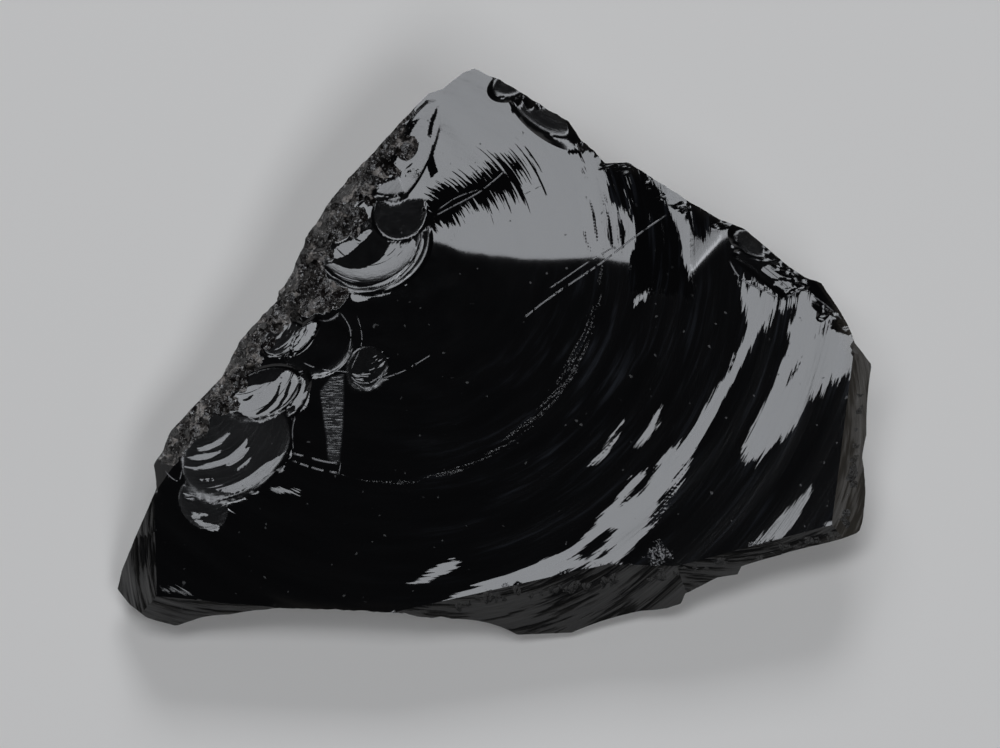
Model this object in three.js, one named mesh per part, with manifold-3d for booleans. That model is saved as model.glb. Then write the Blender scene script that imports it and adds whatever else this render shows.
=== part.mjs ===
// An obsidian chunk: one broken lump of black volcanic glass, lying on its flat back.
//
// The chunk is drawn square to its main face: x to the right, y up the face, z out of it,
// in millimetres. A slab with the chunk's outline is broken down as the real lump was: flat
// facets are struck off its edges, its underside is sloped away to thin edges, and bowl-shaped
// flake scars are taken out of the face, the edges and the sides. The finished lump is then
// laid on its flat back, so its main face leans towards -Y.

import * as THREE from "three";
import { mergeVertices } from "three/addons/utils/BufferGeometryUtils.js";
import Module from "manifold-3d";

const wasm = await Module();
wasm.setup();

const FACE_LEAN = 16;          // degrees between the main face and the flat back
const THICKNESS = 26;          // from main face to back, straight behind the drawing's centre
const SLAB_DEPTH = 60;         // deeper than the thickest end of the wedge
const CUTTER = 320;            // side of the block that strikes off a facet
const SCAR_ROUNDS = 40;        // segments round a flake scar
const SCAR_RINGS = 26;         // rings from pole to pole of a flake scar

// The outline, square to the main face, counter-clockwise from the point at the top.
const OUTLINE = [
  // crushed left side, from the top point down to the left corner
  [-2.6, 45.3], [-4.5, 44.5], [-7.7, 41.9], [-9.8, 41.3], [-12.8, 38.2], [-15.5, 35.4],
  [-19.2, 31.2], [-23.7, 27.2], [-26.1, 23.5], [-29.8, 17.8], [-33.6, 11.2], [-34.2, 7.8],
  [-36.6, 5.6], [-40.2, 1.4], [-43.2, -4.5], [-47.4, -8.8], [-51.4, -13.1], [-52.6, -16.3],
  [-54.1, -18.4], [-53.8, -22.4], [-57.8, -31.8], [-60.6, -38.2],
  // lower left corner and the straight bottom
  [-59.5, -40.0], [-55.5, -42.9], [-51.0, -44.6], [-46.6, -43.0], [-40.0, -42.2],
  [-33.9, -41.3], [-24.5, -41.6], [-13.4, -42.2],
  // flaked lower right edge
  [-11.4, -43.0], [-7.8, -43.0], [-5.0, -43.8], [2.4, -45.6], [7.0, -46.4], [14.2, -45.8],
  [18.2, -44.6], [25.4, -42.7], [30.7, -41.0], [31.5, -39.2], [36.6, -36.5], [40.0, -36.2],
  [40.6, -34.9], [48.3, -32.3], [55.5, -30.6], [59.5, -29.3],
  // thin right edge
  [60.2, -26.9], [60.5, -22.4], [60.0, -17.3], [61.8, -8.0], [61.9, -4.5], [61.3, -2.2],
  // chipped upper right edge, back to the top point
  [58.4, 1.1], [57.3, 4.3], [53.0, 10.9], [50.9, 11.5], [46.9, 14.2], [40.8, 19.4],
  [36.6, 21.0], [25.8, 27.8], [22.1, 30.2], [18.7, 30.2], [14.6, 33.9], [12.6, 36.8],
  [8.2, 39.5], [1.6, 43.5],
];

// Each facet is a plane through the ridge from one point to the next, counter-clockwise round
// the chunk, at a level below the main face. It falls away outwards at an angle to the face:
// under 90 it is a bevel seen from the front, over 90 it undercuts the side. Two facets listed
// together meet in a hollow corner: only what lies outside both of them is gone.
const FACE_PLANES = [
  [{ from: [17.6, 14.9], to: [-10.6, 17.9], level: 0, fall: 9 }],       // upper part of the face
  [{ from: [26.0, -34.0], to: [42.0, 15.0], level: 0, fall: 5 }],       // right part of the face
];
const BEVELS = [
  [{ from: [-15.5, 33.0], to: [-48.8, -14.8], level: -0.6, fall: 44 }], // crushed left rim
  [{ from: [-53.8, -22.8], to: [-53.3, -39.5], level: 0, fall: 55 }],   // left corner
  [{ from: [-53.3, -39.4], to: [-33.9, -41.2], level: 0, fall: 52 }],   // strip under the corner
  [                                                                     // lower right, wide part
    { from: [-13.4, -42.0], to: [18.2, -34.9], level: -0.5, fall: 46 },
    { from: [18.2, -34.9], to: [34.6, -35.4], level: -0.8, fall: 50 },
  ],
  [{ from: [34.6, -35.2], to: [57.0, -29.2], level: -2.0, fall: 48 }],  // lower right, narrow part
  [{ from: [56.9, -29.0], to: [60.2, -3.0], level: -3.0, fall: 52 }],   // thin right edge
];
const SIDES = [
  [                                                                     // long left side
    { from: [-2.6, 45.6], to: [-33.8, 11.4], level: -13, fall: 99 },
    { from: [-33.0, 10.8], to: [-54.3, -18.0], level: -11, fall: 105 },
  ],
  [{ from: [-53.6, -21.0], to: [-60.8, -38.0], level: -9, fall: 114 }], // left corner
  [{ from: [-60.4, -40.0], to: [-46.0, -45.6], level: -7, fall: 116 }], // under the strip
  [                                                                     // bottom
    { from: [-50.0, -44.6], to: [-12.0, -42.0], level: -6, fall: 108 },
    { from: [-9.0, -44.2], to: [14.5, -46.6], level: -9, fall: 124 },
  ],
  [{ from: [13.5, -46.6], to: [60.0, -29.6], level: -9, fall: 130 }],   // lower right
  [{ from: [60.2, -29.6], to: [62.2, -3.0], level: -7, fall: 138 }],    // thin right edge
  [{ from: [62.2, -3.0], to: [52.0, 12.6], level: -8, fall: 118 }],     // right corner
  [{ from: [51.6, 11.9], to: [19.0, 32.4], level: -9, fall: 102 }],     // upper right
  [{ from: [22.0, 30.6], to: [-2.6, 45.9], level: -12, fall: 98 }],     // by the top point
];

// Flake scars: bowls left where flakes came away, each part of a ball.
const FACE_SCARS = [
  { at: [-18.4, 16.8, 5.2], radius: 9.4 },      // crescent bowl
  { at: [-14.1, 21.4, 2.9], radius: 5.6 },      // small bowl above it
  { at: [-12.6, 29.4, 3.6], radius: 6.9 },      // foot of the spike-shaped scar
  { at: [-28.8, 1.6, 6.1], radius: 9.0 },       // scars in the middle of the crushed rim
  { at: [-36.0, -7.2, 8.4], radius: 11.0 },     // upper ribbed scar
  { at: [-41.6, -15.6, 11.2], radius: 15.0 },   // lower ribbed scar
  { at: [-47.2, -24.4, 6.6], radius: 8.0 },     // scar under it
  { at: [11.2, 46.6, -2.5], radius: 10.4 },     // chip right of the top point
  { at: [46.5, 18.0, 1.0], radius: 7.6 },       // scars of the upper right edge
];
const SIDE_SCARS = [
  { at: [47.0, 47.0, -21.0], radius: 29.0 },    // upper right side
  { at: [22.0, 62.0, -25.0], radius: 26.0 },    // side by the top point
  { at: [-39.0, 46.0, -23.0], radius: 26.0 },   // upper left side
  { at: [-66.0, 12.0, -24.0], radius: 27.0 },   // lower left side
  { at: [-84.0, -27.0, -19.0], radius: 28.0 },  // left corner
  { at: [-28.0, -72.0, -21.0], radius: 31.0 },  // bottom, left half
  { at: [30.0, -74.0, -27.0], radius: 37.0 },   // bottom, right half
  { at: [86.0, -8.0, -27.0], radius: 34.0 },    // right side
];

const OBSIDIAN = new THREE.MeshStandardMaterial({ color: 0x0b0b0d, roughness: 0.06, metalness: 0 });

/** Turns a closed geometry into a solid that can be joined and cut. */
function solid(geometry) {
  const bare = geometry.clone();
  bare.deleteAttribute("normal");
  bare.deleteAttribute("uv");
  const merged = mergeVertices(bare, 1e-4);
  const vertProperties = new Float32Array(merged.attributes.position.array);
  const triVerts = new Uint32Array(merged.index.array);
  return new wasm.Manifold(new wasm.Mesh({ numProp: 3, vertProperties, triVerts }));
}

/** The slab that the chunk is broken from: the outline, from its main face to behind its back. */
function slab() {
  const outline = new THREE.Shape(OUTLINE.map(([x, y]) => new THREE.Vector2(x, y)));
  const block = new THREE.ExtrudeGeometry(outline, { depth: SLAB_DEPTH, bevelEnabled: false });
  return solid(block.translate(0, 0, -SLAB_DEPTH));
}

/** The way a facet's plane faces: outwards from its ridge, turned by its fall from the face. */
function facing({ from, to, fall }) {
  const outwards = new THREE.Vector3(to[1] - from[1], from[0] - to[0], 0).normalize();
  const angle = THREE.MathUtils.degToRad(fall);
  const out = new THREE.Vector3(0, 0, Math.cos(angle));
  return out.addScaledVector(outwards, Math.sin(angle));
}

/** A block that takes away everything outside a plane through a point, facing a given way. */
function cutter(point, normal) {
  const block = new THREE.BoxGeometry(CUTTER, CUTTER, CUTTER).translate(0, 0, CUTTER / 2);
  const turn = new THREE.Quaternion().setFromUnitVectors(new THREE.Vector3(0, 0, 1), normal);
  return solid(block.applyQuaternion(turn).translate(point.x, point.y, point.z));
}

/** What is struck off by one facet, or by two that meet in a hollow corner. */
function facetCutter(facets) {
  const blocks = facets.map((facet) => {
    const [x, y] = facet.from;
    return cutter(new THREE.Vector3(x, y, facet.level), facing(facet));
  });
  return blocks.reduce((both, block) => both.intersect(block));
}

/** The ball that one flake scar is part of, its poles along z. */
function scarCutter({ at, radius }) {
  const ball = new THREE.SphereGeometry(radius, SCAR_ROUNDS, SCAR_RINGS).rotateX(Math.PI / 2);
  return solid(ball.translate(...at));
}

/** The block below the flat back, which leans by FACE_LEAN against the main face. */
function backCutter() {
  const lean = THREE.MathUtils.degToRad(FACE_LEAN);
  const down = new THREE.Vector3(0, -Math.sin(lean), -Math.cos(lean));
  return cutter(new THREE.Vector3(0, 0, -THICKNESS), down);
}

/** The chunk's solid, laid on its flat back with its box's bottom centre at the origin. */
function chunk() {
  const facets = [...FACE_PLANES, ...BEVELS, ...SIDES].map(facetCutter);
  const scars = [...FACE_SCARS, ...SIDE_SCARS].map(scarCutter);
  const cutters = [...facets, ...scars, backCutter()];
  const broken = cutters.reduce((lump, away) => lump.subtract(away), slab());
  const mesh = broken.getMesh();
  const geometry = new THREE.BufferGeometry();
  geometry.setAttribute("position", new THREE.BufferAttribute(mesh.vertProperties, 3));
  geometry.setIndex(new THREE.BufferAttribute(mesh.triVerts, 1));
  geometry.rotateX(THREE.MathUtils.degToRad(FACE_LEAN));
  geometry.computeBoundingBox();
  const box = geometry.boundingBox;
  const middle = box.getCenter(new THREE.Vector3());
  return geometry.translate(-middle.x, -middle.y, -box.min.z);
}

/** The chunk as one named piece of black volcanic glass. */
function obsidianChunk() {
  const piece = new THREE.Mesh(chunk(), OBSIDIAN);
  piece.name = "obsidian_chunk";
  return piece;
}

const group = new THREE.Group();
group.add(obsidianChunk());

export default group;
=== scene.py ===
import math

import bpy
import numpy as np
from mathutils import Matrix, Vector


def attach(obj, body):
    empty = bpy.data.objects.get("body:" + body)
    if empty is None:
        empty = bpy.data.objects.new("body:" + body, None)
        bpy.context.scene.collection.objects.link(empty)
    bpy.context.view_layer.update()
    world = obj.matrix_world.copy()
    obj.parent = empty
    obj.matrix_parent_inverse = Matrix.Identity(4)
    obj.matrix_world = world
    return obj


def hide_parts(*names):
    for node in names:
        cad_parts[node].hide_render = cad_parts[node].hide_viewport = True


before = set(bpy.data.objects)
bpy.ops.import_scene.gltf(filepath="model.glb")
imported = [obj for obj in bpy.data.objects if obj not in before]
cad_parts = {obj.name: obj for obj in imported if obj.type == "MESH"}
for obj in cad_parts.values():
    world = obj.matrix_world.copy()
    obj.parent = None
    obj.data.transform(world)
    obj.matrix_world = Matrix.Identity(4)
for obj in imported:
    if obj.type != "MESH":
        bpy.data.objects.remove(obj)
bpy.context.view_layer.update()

# A lump of obsidian, black volcanic glass, lying on its flat back on a pale studio floor.
#
# Its surface is worked out in the face's own drawing frame, in millimetres: x to the right,
# y up the main face, z out of it. Every fracture, a facet or a flake scar, is a surface of
# its own, and the lump is what lies under the lowest of them. The finished mesh is laid on
# its flat back and put in metres, with its box's bottom centre at the origin.

NODE = "obsidian_chunk"
MM = 0.001

# ---------------------------------------------------------------- driving dimensions
FACE_LEAN = math.radians(16)     # between the main face and the flat back
THICKNESS = 26.0                 # main face to back, straight behind the drawing's centre
MAP_CENTRE = np.array([-12.0, 0.0])   # the grids are laid out round this point
FACE_CELLS = 212                 # cells across the face grid
SIDE_ROWS = 48                   # rows of cells from the rim to the back
BACK_RINGS = 6                   # rings of cells on the flat back
RIM_HALVINGS = 24                # halvings that find where the face meets the sides
FOOT_HALVINGS = 26               # halvings that find where the sides meet the flat back
NOWHERE = 999.0                  # a reach past everything, where a ray meets no surface
SHARP_ANGLE = math.radians(24)   # ridges sharper than this are kept crisp
PERCUSSION = np.array([-14.4, 16.0])  # the point the main face's rings run round

OUTLINE = np.array([
    # crushed left side, from the top point down to the left corner
    [-2.6, 45.3], [-4.5, 44.5], [-7.7, 41.9], [-9.8, 41.3], [-12.8, 38.2], [-15.5, 35.4],
    [-19.2, 31.2], [-23.7, 27.2], [-26.1, 23.5], [-29.8, 17.8], [-33.6, 11.2], [-34.2, 7.8],
    [-36.6, 5.6], [-40.2, 1.4], [-43.2, -4.5], [-47.4, -8.8], [-51.4, -13.1], [-52.6, -16.3],
    [-54.1, -18.4], [-53.8, -22.4], [-57.8, -31.8], [-60.6, -38.2],
    # lower left corner and the straight bottom
    [-59.5, -40.0], [-55.5, -42.9], [-51.0, -44.6], [-46.6, -43.0], [-40.0, -42.2],
    [-33.9, -41.3], [-24.5, -41.6], [-13.4, -42.2],
    # flaked lower right edge
    [-11.4, -43.0], [-7.8, -43.0], [-5.0, -43.8], [2.4, -45.6], [7.0, -46.4], [14.2, -45.8],
    [18.2, -44.6], [25.4, -42.7], [30.7, -41.0], [31.5, -39.2], [36.6, -36.5], [40.0, -36.2],
    [40.6, -34.9], [48.3, -32.3], [55.5, -30.6], [59.5, -29.3],
    # thin right edge
    [60.2, -26.9], [60.5, -22.4], [60.0, -17.3], [61.8, -8.0], [61.9, -4.5], [61.3, -2.2],
    # chipped upper right edge, back to the top point
    [58.4, 1.1], [57.3, 4.3], [53.0, 10.9], [50.9, 11.5], [46.9, 14.2], [40.8, 19.4],
    [36.6, 21.0], [25.8, 27.8], [22.1, 30.2], [18.7, 30.2], [14.6, 33.9], [12.6, 36.8],
    [8.2, 39.5], [1.6, 43.5],
])

# A facet is a plane through the ridge between two points, counter-clockwise round the lump,
# at a level under the main face, and it falls away outwards at an angle to the face, in
# degrees: x1, y1, x2, y2, level, fall. Facets in one list meet in a hollow corner.
BEVELS = [
    [(-15.5, 33.0, -48.8, -14.8, -0.6, 44)],     # crushed left rim
    [(-53.8, -22.8, -53.3, -39.5, 0.0, 55)],     # left corner
    [(-53.3, -39.4, -33.9, -41.2, 0.0, 52)],     # strip under the corner
    [(-13.4, -42.0, 18.2, -34.9, -0.5, 46),      # lower right, wide part
     (18.2, -34.9, 34.6, -35.4, -0.8, 50)],
    [(34.6, -35.2, 57.0, -29.2, -2.0, 48)],      # lower right, narrow part
    [(56.9, -29.0, 60.2, -3.0, -3.0, 52)],       # thin right edge
    [(46.9, 8.2, 39.2, 14.1, 0.0, 42),           # sunken floor by the upper right edge
     (37.8, 12.0, 40.3, 20.0, 0.0, 42),
     (50.6, 9.9, 46.9, 8.2, 0.0, 42),
     (46.9, 8.2, 39.2, 14.1, -0.45, 2)],
    [(57.3, 4.0, 50.6, 9.9, 0.0, 30)],           # facet along the upper right edge
]
HAZY_FROM, HAZY_TO = 2, 6        # the bevels that are a little hazy, counted from 1
THIN_EDGE = 6                    # the bevel that is the thin right edge
SIDES = [
    [(-2.6, 45.6, -33.8, 11.4, -13, 99),         # long left side
     (-33.0, 10.8, -54.3, -18.0, -11, 105)],
    [(-53.6, -21.0, -60.8, -38.0, -9, 114)],     # left corner
    [(-60.4, -40.0, -46.0, -45.6, -7, 116)],     # under the strip
    [(-50.0, -44.6, -12.0, -42.0, -6, 108),      # bottom
     (-9.0, -44.2, 14.5, -46.6, -9, 124)],
    [(13.5, -46.6, 60.0, -29.6, -9, 130)],       # lower right
    [(60.2, -29.6, 62.2, -3.0, -7, 138)],        # thin right edge
    [(62.2, -3.0, 52.0, 12.6, -8, 118)],         # right corner
    [(51.6, 11.9, 19.0, 32.4, -9, 102)],         # upper right
    [(22.0, 30.6, -2.6, 45.9, -12, 98)],         # by the top point
]


# ---------------------------------------------------------------- shapes as formulas
def soft_ramp(distance, softness):
    """Zero on one side of a line and the distance from it on the other, with a rounded
    corner between the two: softness times the log of 1 + e to the distance over softness."""
    return softness * np.logaddexp(0.0, distance / softness)


def plane_under(facet, x, y):
    """Height of a facet's plane: its level, less the distance outwards past its ridge times
    the tangent of its fall."""
    x1, y1, x2, y2, level, fall = facet
    along = np.array([x2 - x1, y2 - y1]) / math.hypot(x2 - x1, y2 - y1)
    outwards = (x - x1) * along[1] - (y - y1) * along[0]
    return level - outwards * math.tan(math.radians(fall))


def plane_reach(facet, angle, z):
    """How far out from the map centre a facet's plane lies, in each direction at each height:
    the plane's distance less what the height uses up, over how squarely the ray meets it."""
    x1, y1, x2, y2, level, fall = facet
    along = np.array([x2 - x1, y2 - y1]) / math.hypot(x2 - x1, y2 - y1)
    outwards = np.array([along[1], -along[0]])
    slope = 1.0 / math.tan(math.radians(fall))
    offset = (np.array([x1, y1]) - MAP_CENTRE) @ outwards
    facing = np.cos(angle) * outwards[0] + np.sin(angle) * outwards[1]
    reach = (offset - (z - level) * slope) / np.maximum(facing, 1e-6)
    return np.where(facing > 0.02, reach, NOWHERE)


# Each outline below bounds one patch of the main face, as x, y in the drawing frame.
# Patches that lean towards the front, and shine.
GLINTS = [
    # right patch
    [(50, 9.5), (54, 7), (57.5, 4), (58, 1.5), (59.5, 0.5), (58.5, -2), (56.5, -4.5), (53.5, -6.2),
     (51.5, -7), (50, -10), (47.5, -13.5), (44.5, -16.5), (41, -18), (40.3, -15.8), (41.8, -12.5),
     (44, -8.5), (46, -4.5), (47.2, -1), (48, 1), (47.7, 3.5), (49, 6), (48.5, 8)],
    # long band, from the upper right edge down to the bottom: its inner edge, then its outer
    [(39.5, 11.5), (40.5, 7), (41.2, 4), (40.5, 1.5), (39, -1), (37.5, -4), (36, -6.5), (34.2, -9.5),
     (33, -12), (31.5, -14.2), (29, -16.2), (25.5, -18.8), (22.5, -20.5), (20, -24), (17.5, -27),
     (15.5, -29.5), (13, -32), (10, -33), (5.5, -34.8), (2, -36), (-1.5, -37.3), (-5.5, -39.2),
     (-8, -40.5), (-13.5, -42.5),
     (-6, -41), (-2, -40), (1.5, -39), (5, -38), (9, -36.5), (12.5, -35), (16, -34.5), (20, -34.8),
     (23, -31.5), (26, -28.5), (28.5, -25), (30, -22), (31.5, -19), (33, -15.5), (35, -12),
     (37, -8.5), (39, -5), (40.2, -2), (41.5, 0.5), (42.5, 2.5), (45, 4.5), (47, 7), (48.5, 7.8),
     (46.7, 8.2), (44, 9.5), (41, 10.8)],
    # short streak by the thin edge
    [(42, -31), (44, -29.5), (46, -27), (48, -25), (50, -23.5), (51.8, -21.3), (50.8, -24),
     (49.3, -26.8), (47.5, -29), (46, -30.5)],
    # streak near the bottom
    [(-12.8, -37.5), (-9.5, -35.2), (-6, -33.6), (-4.3, -33.8), (-6.5, -35.4), (-10, -37.3)],
    # fine streaks inside the long band
    [(15, -19.5), (17.5, -16.6), (19.5, -13.9), (21, -11.8), (20.2, -14.5), (18.2, -17)],
    [(23, -16), (25, -12.5), (26.3, -9.8), (27.5, -9), (26.8, -12), (25, -14.8)],
    # faint streaks below the bright top
    [(23, 7.5), (24.5, 9.8), (26, 11.5), (27.3, 14.3), (27.8, 13), (26.6, 10.3), (24.8, 8)],
    # dashes at the left, and a sliver by the thin edge
    [(-35.5, -22.5), (-34, -22), (-30, -22.2), (-30.5, -22.8), (-34, -22.8)],
    [(-53, -38.5), (-51.5, -37.8), (-48, -38.8), (-50.5, -39)],
    [(58.2, -9.5), (59, -6), (60, -2.5), (60.4, -4.5), (59.5, -8)],
]
# Gaps in those patches.
SLITS = [
    [(19.8, -26.5), (21.5, -24), (24, -21.3), (25.3, -18.8), (27.5, -17.3), (26.5, -19.8),
     (24.5, -22.8), (22, -24.3)],
    [(24.5, -28.3), (26.5, -25), (29, -21.3), (31, -18), (30.2, -21), (28, -25), (26, -28)],
    [(13.5, -33), (16, -31), (18.5, -29), (20.3, -28), (19.5, -30), (17.5, -31.5), (15.5, -33.8)],
    [(39.3, -1.5), (38, -3.8), (37, -5.3), (37.8, -3.3)],
    [(51.5, 1.5), (53, 3.5), (54.3, 4.7), (53.3, 2.8)],
    [(47.5, -5), (48.5, -3.3), (49.5, -2), (48.7, -4)],
    [(43.5, 3.5), (45, 5.7), (46.5, 7.5), (45.7, 5.3)],
    [(56.5, -5), (57.7, -3), (58.7, -1), (58.2, -3.2)],
    [(16.8, -33.7), (18, -32.3), (19.3, -31.5), (18.3, -33)],
]
# The comb beside the percussion point, turned away from the light, and the streak at its tip.
COMB = [
    [(-10.5, 19.2), (-10.2, 23.5), (-9, 25.5), (-5.5, 26.5), (-2, 28), (0.5, 30), (3, 30.8),
     (5.3, 30.3), (5, 27), (4.8, 24.3), (2, 24), (-1.5, 23), (-5, 21), (-8, 19.8)],
    [(5.8, 32), (7.5, 29.8), (8.3, 26.5), (7.2, 28.5)],
]
# Other parts of the leaning top that are turned away from the light.
HOLLOWS = [
    # gap right of the bright top
    [(18, 31), (18.8, 27.5), (19, 24), (21.5, 22.5), (23, 20.5), (23.5, 18), (22.3, 14), (22, 9.5),
     (33.5, 8), (32, 11.8), (31, 14), (30.2, 18), (29, 22), (27, 26), (24.5, 29), (21.5, 31)],
    # notch in the patch beside the gap
    [(31.8, 24), (31, 21), (32.3, 19.5), (33, 17.7), (34.3, 18), (35.5, 19.5), (37, 20.5), (36.3, 22),
     (34, 23.8)],
    # fine streaks in the right of the bright top
    [(14.8, 20.8), (15.5, 18.5), (16.2, 15.5), (15.3, 17)],
    [(16, 24), (16.9, 21), (17.6, 16.5), (16.7, 19)],
    [(14, 31.5), (15, 29.5), (15.7, 27.5), (14.9, 28.5)],
    [(13.5, 34), (14.5, 32), (15.3, 29.5), (14.2, 31)],
    [(17.3, 28), (18, 25), (18.5, 22), (17.8, 23.5)],
    [(18.8, 22), (19.5, 19.5), (19.8, 16.5), (19.1, 18)],
    [(20.5, 22), (21.5, 19), (21.3, 16), (20.7, 18)],
    # dark sides of the spike
    [(-8.3, 39.3), (-9, 36.5), (-9.6, 34), (-10, 34.5), (-9.5, 37)],
    [(-9.2, 33), (-9, 30.5), (-8.3, 28.7), (-9.5, 27.5), (-10, 29.5)],
    [(-11.3, 37.3), (-12.7, 35), (-13.5, 33), (-15.7, 29.5), (-17.5, 27), (-20.5, 24.5), (-19, 28),
     (-16, 32), (-14, 36)],
]
# Patches on the flake scars that lean towards the back, and shine.
SCAR_GLINTS = [
    # crescent, the streak inside it and the outer step
    [(-26.8, 13.5), (-26, 12), (-24, 11), (-22.3, 10), (-20, 9.9), (-17.5, 10.7), (-15, 12),
     (-13, 14), (-12, 16), (-11.8, 18), (-15.5, 17.5), (-16.3, 16.5), (-17, 15), (-18.5, 13.8),
     (-20.5, 13), (-23, 13), (-25.3, 14)],
    [(-26, 15), (-24, 17), (-22, 17.5), (-20, 19.2), (-18.5, 19.3), (-20.5, 17.2), (-22.5, 15.5),
     (-24.5, 14.5)],
    [(-22.5, 9), (-22, 7.5), (-19.5, 8), (-16.5, 9.7), (-14, 11.7), (-12, 13.8), (-10.8, 16.3),
     (-10.5, 18), (-11.4, 17.5), (-12, 15), (-13.5, 12.8), (-15.5, 10.8), (-18, 9.6), (-20.5, 9.2)],
    # leaf
    [(-31.5, -1.2), (-31.4, 1.2), (-30.5, 3.3), (-29, 4.2), (-27.6, 4.5), (-27.7, 3), (-28.3, 1.5),
     (-29.5, 0)],
    # upper ribbed scar and its narrow neighbour
    [(-42, -8), (-40.5, -7), (-39, -5.8), (-37, -5.5), (-34.5, -5.2), (-33.3, -3.7), (-32.3, -3),
     (-31, -3.7), (-29.3, -5), (-30, -7), (-32, -9.3), (-34, -10.5), (-36.3, -11.8), (-38, -11.2),
     (-40.2, -10)],
    [(-31.3, -8.2), (-30, -7), (-28.8, -6.3), (-28.9, -8), (-29.5, -9.5), (-31, -10.3)],
    # ribs of the lower ribbed scar, one after another
    [(-47.5, -15.8), (-45, -15.1), (-43, -14.1), (-41.3, -12.8), (-42.5, -14.6), (-44.5, -15.9),
     (-46.5, -16.3)],
    [(-49, -17.2), (-47, -16.8), (-44.5, -16.4), (-42, -15.5), (-44.5, -17.4), (-47, -17.7)],
    [(-49.5, -18.3), (-48, -18.8), (-45.5, -18.3), (-42, -17.1), (-40, -15.4), (-38.2, -13),
     (-39.4, -16.1), (-41.5, -18), (-45, -19.2), (-48, -19.5)],
    [(-43, -18.5), (-41, -17.4), (-38, -15), (-39.5, -17.4), (-41.5, -18.7)],
    [(-42, -20), (-39.5, -18.4), (-37.8, -16.4), (-39, -18.9)],
    [(-48, -20.8), (-45.5, -20.5), (-42.5, -20.4), (-45, -21.2)],
    [(-45, -22.5), (-42, -21.9), (-39, -20.5), (-36, -18), (-33, -16.8), (-31.7, -15),
     (-31.7, -17.4), (-34.5, -19.3), (-38, -21.6), (-41.5, -23)],
    [(-43, -23.8), (-40, -22.8), (-37, -21), (-36, -20.2), (-37.7, -22.3), (-41, -23.8)],
    # ribs of the scar under it
    [(-48.5, -25.8), (-46.5, -26.1), (-44, -26.2), (-46.5, -26.9)],
    [(-48.2, -26.4), (-46.5, -27.2), (-44.3, -27.9), (-43.2, -28), (-43.4, -29.2), (-45, -28.9),
     (-47, -27.8)],
    # foot of the spike
    [(-17, 26.8), (-19, 24.7), (-22.3, 21.8), (-20, 24.8), (-18.3, 26.5)],
    # streaky floor by the upper right edge
    [(43, 13), (45, 13.8), (47, 13.3), (49, 12.6), (50.5, 11.7), (49, 11), (47, 12), (45.5, 11.2),
     (44.3, 12.2)],
    [(45, 10.2), (46.3, 11.4), (48, 10.7), (49.6, 10.6), (48, 9.8), (46.4, 9.4)],
    [(50.5, 10.5), (52, 11), (54, 10.2), (54.5, 9.3), (52.5, 9.4)],
    [(40.3, 11), (41.9, 11.2), (43.8, 10.3), (45, 9.4), (43, 9.7)],
]
# Grooves between the ribs of the upper ribbed scar.
SCAR_SLITS = [
    [(-38.2, -10.8), (-35.5, -8.7), (-34, -6.3), (-33.4, -4.3), (-33.5, -6.8), (-35, -9.2)],
    [(-36.8, -11.3), (-34, -9), (-32.4, -6), (-31.8, -3.8), (-31.9, -6.5), (-33.6, -9.5)],
    [(-35.2, -10.8), (-32.6, -8.5), (-31.2, -6), (-30.5, -4.5), (-30.6, -6.5), (-32.2, -9.1)],
    [(-40.7, -8.1), (-39, -7.9), (-37.6, -6.8), (-38.6, -8.3)],
]
# Patches that only shine along their ribs.
RIBBED_GLINTS = [
    # scar under the lower ribbed one
    [(-49.3, -21.5), (-46, -22), (-43, -22.8), (-41, -24), (-42.5, -26.5), (-43.3, -29),
     (-45.5, -28.3), (-48, -26), (-49, -24)],
    # grey facet and fan in the middle
    [(-36, 1.5), (-35, 3), (-32.5, 4.5), (-31, 4.5), (-31.3, 2), (-31.5, -1), (-33, -1), (-35.5, -0.2)],
    [(-22.4, -3.5), (-19.8, -1), (-18.5, -0.5), (-16.2, -2.5), (-17.5, -5), (-19.5, -6.6), (-21.5, -5.5)],
    # side of the spike
    [(-13.3, 28.3), (-13.3, 30.5), (-12.2, 32.3), (-11, 31.5), (-10.8, 28.5), (-12, 27.8)],
]
CRUSHED_RIM = [
    # inner edge, from the top point down, then back outside the outline
    (-10.5, 42), (-11, 39.5), (-12.8, 37.5), (-14, 33.5), (-16.5, 29), (-18, 26.5), (-22.5, 21.8),
    (-24, 19), (-25.5, 16.5), (-26.7, 14), (-26.3, 11.8), (-23.5, 10.3), (-22.5, 8), (-24.3, 6.2),
    (-28, 5), (-32, 4.8), (-34, 4), (-36, 2), (-36.5, -0.5), (-36.3, -2.5), (-39, -4), (-39.5, -6),
    (-42, -7.8), (-44, -9.8), (-46, -12.8), (-48, -15), (-49.3, -17.5), (-50.5, -16.3), (-54.5, -16),
    (-54.5, -14), (-38.5, 8), (-24, 29),
]
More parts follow.
